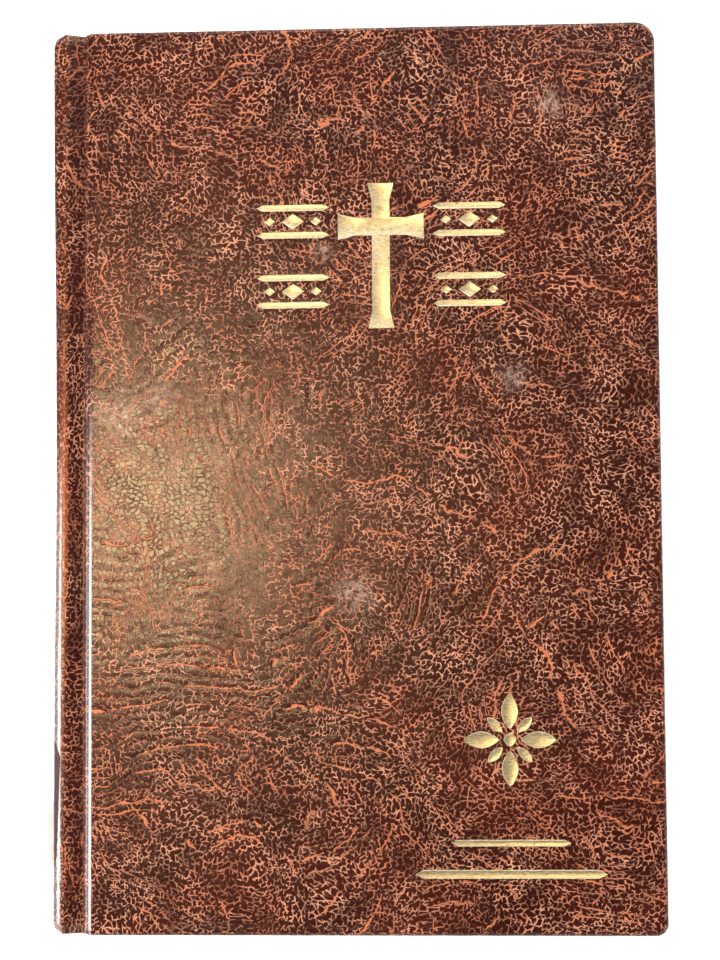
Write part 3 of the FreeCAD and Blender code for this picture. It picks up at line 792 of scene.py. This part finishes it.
# %% Make a slab of paper
def paper_slab(name, low, high, stations, fold, material, wander=0.0, seed=0):
    """Half thickness along X is t / 2 times 1/4 + 3/4 sqrt(1 - (1 - x / r)^2) within r of the fold. The fore
    edge and the two ends wander in and out by smooth noise. Points on the cut edges get cut = 1."""
    t = high[2] - low[2]
    x = low[0] + stations
    y = np.concatenate([[low[1]], np.linspace(low[1] + 0.25 * MM, high[1] - 0.25 * MM, 39), [high[1]]])
    gx, gy = np.meshgrid(x, y)
    reach = np.clip((gx - low[0]) / max(fold, 1e-6), 0, 1)
    half = t / 2 * (np.sqrt(np.maximum(1 - (1 - reach) ** 2, 0)) * 0.75 + 0.25) if fold > 0 else t / 2 + 0 * gx
    share = (gx - low[0]) / (high[0] - low[0])
    cut = wander * (soft_noise(gy, 0 * gy + seed * 0.01, 22 * MM, 60 + seed) - 1) * share**6
    ends = wander * 0.8 * (soft_noise(gx, 0 * gx + seed * 0.013, 19 * MM, 70 + seed) - 1)
    ny = np.clip((gy - low[1]) / (high[1] - low[1]), 0, 1) * 2 - 1
    px, py = gx + cut, gy + ends * ny**15
    middle = (low[2] + high[2]) / 2
    points = np.concatenate([np.stack([px, py, z], -1).reshape(-1, 3) for z in (middle + half, middle - half)])
    rim = grid_rim(*gx.shape)
    on_cut = np.zeros((2 * gx.size, 3))
    on_cut[np.concatenate([rim, rim + gx.size])] = 1
    vectors = {"unbent": points, "cut": on_cut}
    return make_piece(name, points, sheet_faces(*gx.shape), material, vectors, sharp=35)


def stations_for(width, bend, fine):
    """Distances from the fold: close together over the bend, a few more on the flat."""
    near_fold = np.linspace(0, bend, fine)
    flat = np.linspace(bend, width - 0.25 * MM, 7)[1:]
    return np.concatenate([[0, 0.1 * MM, 0.25 * MM], near_fold[near_fold > 0.4 * MM], flat, [width]])


# %% Make the sections
HALF_BLOCK = 12  # sections on each side of the opening
for k in range(1, 2 * HALF_BLOCK + 1):
    name = f"section_{k:02d}"
    low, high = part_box(name)
    side = "back" if k <= HALF_BLOCK else "front"
    depth = k - 0.5 if k <= HALF_BLOCK else 2 * HALF_BLOCK + 0.5 - k
    bend = (3.0 + 21.0 * (depth / HALF_BLOCK) ** 1.2) * MM
    stations = stations_for(high[0] - low[0], bend * 1.05, 30)
    slab = paper_slab(f"pages_{name}", low, high, stations, 0.42 * MM, page_paper, 0.12 * MM, k)
    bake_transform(slab)
    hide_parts(name)

# %% Make the loose leaves
for side in ("back", "front"):
    for k in (1, 2, 3):
        name = f"{side}_leaf_{k}"
        low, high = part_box(name)
        stations = stations_for(high[0] - low[0], 30 * MM, 34)
        leaf = paper_slab(f"loose_{name}", low, high, stations, 0.0, page_paper, 0.06 * MM, 30 + k)
        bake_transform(leaf)
        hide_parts(name)

# %% [markdown]
# The endpapers are one folded sheet each: half pasted to the board, half free. The paste line stays put, the
# fold is a narrow strip that bends from the block to the cover, and the free half bends up from its glued edge.


# %% Make the endpapers
for side, flip in (("front", 1), ("back", -1)):
    low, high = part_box(f"{side}_flyleaf")
    stations = stations_for(high[0] - low[0], 16 * MM, 24)
    fly = paper_slab(f"{side}_free_endpaper", low, high, stations, 0.0, end_paper, 0.05 * MM, 40)
    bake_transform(fly)
    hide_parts(f"{side}_flyleaf")
    edge_low, edge_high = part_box(f"{side}_flyleaf_edge")
    paste_low, paste_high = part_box(f"{side}_pastedown")
    z = (paste_low[2] if flip > 0 else paste_high[2]) - flip * 0.05 * MM
    low = (edge_low[0] + 0.1 * MM, edge_low[1], z - 0.03 * MM)
    high = (paste_low[0] + 1.2 * MM, edge_high[1], z + 0.03 * MM)
    stations = np.linspace(0, high[0] - low[0], 20)
    strip = paper_slab(f"{side}_endpaper_fold", low, high, stations, 0.0, end_paper)
    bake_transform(strip)

# %% [markdown]
# ## Finishes for the pieces that keep their CAD solids
#
# Boards, card, cloth and thread don't bend visibly, so their solids stay, each with a finish of its own. These
# read the object's own coordinates, as the pieces never change shape.


# %% Board, card, cloth, thread and glue paper
WHOLE_TURN = 6.283  # radians in a stripe's full wave


def fibre_board(name, pale, deep, scale):
    """Matted fibres: noise drawn out a little along one axis, in the colour and in the bump."""
    f = Finish(name)
    place = f.place()
    flecks = f.noise(f.node("Mapping", Vector=place, Scale=(1.0, 2.6, 1.0)).outputs[0], scale, 5.0, 0.7)
    f.set_skin(
        Base_Color=f.mix(f.step(flecks, 0.3, 0.7), deep, pale),
        Roughness=0.85,
        Normal=f.bump(flecks, 0.0001, 0.5),
        Specular_IOR_Level=0.25,
    )
    return f.material


def woven(name, pale, deep, pitch):
    """Threads over and under: a sine wave of the pitch across, times another along."""
    f = Finish(name)
    parts = f.node("SeparateXYZ", Vector=f.place()).outputs
    warp = f.math("SINE", f.math("MULTIPLY", parts[2], WHOLE_TURN / pitch))
    weft = f.math("SINE", f.math("MULTIPLY", parts[1], WHOLE_TURN / pitch))
    cross = f.math("MULTIPLY", warp, weft)
    f.set_skin(
        Base_Color=f.mix(f.step(cross, -0.4, 0.5), deep, pale),
        Roughness=0.8,
        Normal=f.bump(cross, 0.0001, 0.7),
    )
    return f.material


def striped_band():
    """Silk wound over a cord: slanting stripes of two colours and a fine thread between them."""
    f = Finish("striped_headband_silk")
    parts = f.node("SeparateXYZ", Vector=f.place()).outputs
    slant = f.math("ADD", parts[2], f.math("MULTIPLY", parts[1], 0.6))
    stripe = f.math("SINE", f.math("MULTIPLY", slant, WHOLE_TURN / 0.0022))
    thread = f.math("SINE", f.math("MULTIPLY", slant, WHOLE_TURN / 0.00037))
    f.set_skin(
        Base_Color=f.mix(f.step(stripe, -0.15, 0.15), colour(226, 214, 186), colour(128, 52, 38)),
        Roughness=0.5,
        Normal=f.bump(thread, 0.00008, 0.8),
        Sheen_Weight=0.2,
    )
    return f.material


# %% Give the CAD solids their finishes
grey_board = fibre_board("grey_board", colour(168, 162, 152), colour(134, 128, 120), 900.0)
glue_paper = fibre_board("glued_liner_paper", colour(206, 184, 146), colour(176, 150, 110), 700.0)
pasted = fibre_board("pasted_endpaper", colour(236, 228, 208), colour(226, 216, 192), 500.0)
open_weave = woven("open_weave_mull", colour(232, 226, 206), colour(178, 166, 138), 0.0011)
linen = woven("linen_thread", colour(238, 232, 216), colour(198, 188, 164), 0.0005)
for finish, nodes in (
    (grey_board, ("front_board", "back_board")),
    (glue_paper, ("spine_liner",)),
    (open_weave, ("mull",)),
    (linen, ("sewing_thread",)),
    (striped_band(), ("headband", "tailband")),
    (pasted, ("front_pastedown", "back_pastedown", "front_flyleaf_edge", "back_flyleaf_edge")),
):
    for node in nodes:
        for material_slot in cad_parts[node].material_slots:
            material_slot.material = finish
    print(finish.name, "on", ", ".join(nodes))

# %% [markdown]
# The card inside the spine has to follow the leather's bow, or it would show through where the spine is pushed
# in. It is a plain bar with many cross sections along Y, each moved in by the same bow.


# %% Make the card inside the spine
def bowed_card(name, low, high, thick, material):
    """A flat bar whose four corner lines follow the spine's bow."""
    ys = np.linspace(low[1], high[1], 60)
    bow = spine_bow(ys) + 0.1 * MM
    outline = ((0, low[2]), (thick, low[2]), (thick, high[2]), (0, high[2]))
    points = np.stack([np.stack([low[0] + x + bow, ys, 0 * ys + z], -1) for x, z in outline], 1).reshape(-1, 3)
    first, last = np.arange(4), np.arange(4) + 4 * (len(ys) - 1)
    return make_piece(name, points, [grid_faces(len(ys), 4, True), [first], [last[::-1]]], material)


card_stock = fibre_board("spine_card_stock", colour(186, 172, 148), colour(160, 146, 122), 1200.0)
card = bowed_card("spine_card_bowed", *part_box("spine_card"), 0.8 * MM, card_stock)
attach(card, "spine")
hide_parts("spine_card")

# %% [markdown]
# ## The label on the spine
#
# A strip of smooth film goes round the spine near the tail. It is bare and dark, its upper front corner is cut
# slantwise, and one edge of its clear backing has lifted and stands out pale at the back. The film follows the
# spine's own path a tenth of a millimetre further out, and sinks in with its bow.


# %% Film finishes
def label_film(name, tone, rough, alpha):
    """Smooth plastic with faint smears."""
    f = Finish(name)
    smear = f.noise(f.place(), 420.0, 4.0, 0.6)
    f.set_skin(
        Base_Color=f.mix(f.step(smear, 0.3, 0.7), tone, f.mix(0.25, tone, colour(120, 90, 88))),
        Roughness=rough,
        Normal=f.bump(smear, 0.00006, 0.4),
        Alpha=alpha,
    )
    return f.material


# %% Make the label
label_low, label_high = corners("spine_label")
label_path, label_gone = path_along(round_the_spine, 0.6 * MM)
tangent = np.gradient(label_path, axis=0)
tangent /= np.linalg.norm(tangent, axis=1, keepdims=True)
outward = np.stack([-tangent[:, 1], tangent[:, 0]], -1)
share, across = np.meshgrid(np.linspace(0, 1, 60), np.linspace(0, 1, 70), indexing="ij")
front_edge = (1.1 + 1.1 * share + 0.8 * share**12) * MM
at = front_edge + across * (label_gone[-1] - 0.7 * MM - front_edge)
label_y = label_high[1] - 4.0 * MM * smooth_step(3.2 * MM, 0.4 * MM, at) * (1 - share)
label_y = label_y - share * (label_y - label_low[1])
flat_x, flat_z, out_x, out_z = [np.interp(at, label_gone, v) for v in (*label_path.T, *outward.T)]
layers = []
for lift in (0.10 * MM, -0.02 * MM):
    x = flat_x + out_x * lift + spine_bow(label_y) * near_back(flat_x)
    layers.append(np.stack([x, label_y, flat_z + out_z * lift], -1).reshape(-1, 3))
label = make_piece(
    "spine_label_film", np.concatenate(layers), [block[:, ::-1] for block in sheet_faces(*at.shape)],
    label_film("mauve_label_film", colour(72, 44, 46), 0.5, 1.0),
)
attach(label, "spine")
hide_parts("spine_label")

# %% Make its lifted edge
FILM_THICK = 0.08 * MM
t, y = np.meshgrid(np.linspace(0, 1, 8), np.linspace(label_low[1] + 1.0 * MM, label_low[1] + 15.5 * MM, 30))
rise = np.sin(np.pi * (y - y[0, 0]) / (y[-1, 0] - y[0, 0])) ** 0.35
film_x = back_x + 0.35 * MM - 1.75 * MM * t * rise
film_z = THICK * 0.87 - 0.9 * MM * t + 0.2 * MM * np.sin(y * 300)
film_side = np.stack([film_x, y, film_z], -1).reshape(-1, 3)
lifted = make_piece(
    "lifted_film_edge", np.concatenate([film_side, film_side - [0, 0, FILM_THICK]]), sheet_faces(*t.shape),
    label_film("pale_lifted_film", colour(236, 244, 246), 0.25, 0.5),
)
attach(lifted, "spine")

# %% [markdown]
# ## Table, light and camera
#
# The book lies on a white table under soft light: a softbox above and behind, and a weaker one in front. A
# small warm lamp stands where the front cover mirrors it towards the camera, for the tan glow beside the spine.
# A white lamp low on the left draws the bright lines along the spine and the groove. The table shines only for
# rays from the camera or off a shiny or clear surface, so it lends the book no light.


# %% Table
def table_white():
    f = Finish("white_table")
    rays = f.node("LightPath").outputs
    shown = f.math("MAXIMUM", rays["Is Camera Ray"], rays["Is Glossy Ray"])
    shown = f.math("MAXIMUM", shown, rays["Is Transmission Ray"])
    f.set_skin(
        Base_Color=(0.9, 0.9, 0.9, 1.0), Roughness=0.9, Specular_IOR_Level=0.1,
        Emission_Color=(1.0, 1.0, 1.0, 1.0), Emission_Strength=f.math("MULTIPLY", shown, 0.75),
    )
    return f.material


bpy.ops.mesh.primitive_plane_add(size=6.0)
table = bpy.context.object
table.name = "table_top"
table.data.materials.append(table_white())


# %% Lamps
def lamp(name, place, aim, size, watts, tint):
    """A rectangular lamp at a place, turned to face its aim."""
    light = bpy.data.lights.new(name, "AREA")
    light.shape = "RECTANGLE"
    light.size, light.size_y = size
    light.energy = watts
    light.color = tint
    made = bpy.data.objects.new(name, light)
    made.location = place
    made.rotation_euler = (Vector(aim) - Vector(place)).to_track_quat("-Z", "Y").to_euler()
    bpy.context.scene.collection.objects.link(made)


MIDDLE = (0.0, 0.0, 0.0)
lamp("soft_box", (0.2, 0.8, 0.8), MIDDLE, (0.9, 0.7), 6.8, (1.0, 0.95, 0.93))
lamp("near_fill", (0.2, -0.95, 0.75), MIDDLE, (0.8, 0.5), 1.15, (1.0, 0.95, 0.92))
lamp("warm_window", (-0.144, 0.023, 0.622), (-0.049, -0.007, 0.032), (0.08, 0.08), 1.6, (1.0, 0.73, 0.37))
lamp("side_strip", (-0.38, -0.085, 0.33), (-0.07, -0.05, 0.03), (0.24, 0.22), 0.95, (1.0, 0.99, 1.0))

# %% [markdown]
# The room's sky is white where the camera looks past the table. What shiny surfaces mirror of it is pale low
# down and dim overhead, as in a room with light walls, and as plain light it is weak.


# %% Sky
WEAK = 0.12
world = bpy.data.worlds.new("pale_room")
bpy.context.scene.world = world
world.use_nodes = True
sky = world.node_tree.nodes["Background"]
sky.inputs["Color"].default_value = (0.97, 0.98, 1.0, 1.0)
nodes, links = world.node_tree.nodes, world.node_tree.links
rays, height, parts = [nodes.new("ShaderNode" + kind) for kind in ("LightPath", "MapRange", "SeparateXYZ")]
links.new(nodes.new("ShaderNodeTexCoord").outputs["Generated"], parts.inputs[0])
links.new(parts.outputs["Z"], height.inputs["Value"])
for title, value in (("From Min", 0.2), ("From Max", 0.7), ("To Min", 0.95), ("To Max", WEAK)):
    height.inputs[title].default_value = value


def sky_math(kind, a, b):
    """A Math node of the world's tree, fed with outputs or plain numbers."""
    made = nodes.new("ShaderNodeMath")
    made.operation = kind
    for socket, value in zip(made.inputs, (a, b)):
        if isinstance(value, float):
            socket.default_value = value
        else:
            links.new(value, socket)
    return made.outputs[0]


mirrored = sky_math("MULTIPLY", rays.outputs["Is Glossy Ray"], height.outputs[0])
seen = sky_math("MAXIMUM", rays.outputs["Is Camera Ray"], rays.outputs["Is Transmission Ray"])
links.new(sky_math("MAXIMUM", sky_math("MAXIMUM", seen, mirrored), WEAK), sky.inputs["Strength"])
print("sky:", len(nodes), "nodes")

# %% Camera
camera = bpy.data.cameras.new("overhead_camera")
camera.sensor_fit = "HORIZONTAL"
camera.sensor_width = 36.0
camera.lens = 97.4
camera.clip_start = 0.01
overhead = bpy.data.objects.new("overhead_camera", camera)
overhead.location = (0.0233, -0.0299, 0.4794)
overhead.rotation_euler = np.radians([3.649, 2.826, -0.372])
bpy.context.scene.collection.objects.link(overhead)
bpy.context.scene.camera = overhead
bpy.context.scene.view_settings.view_transform = "Standard"
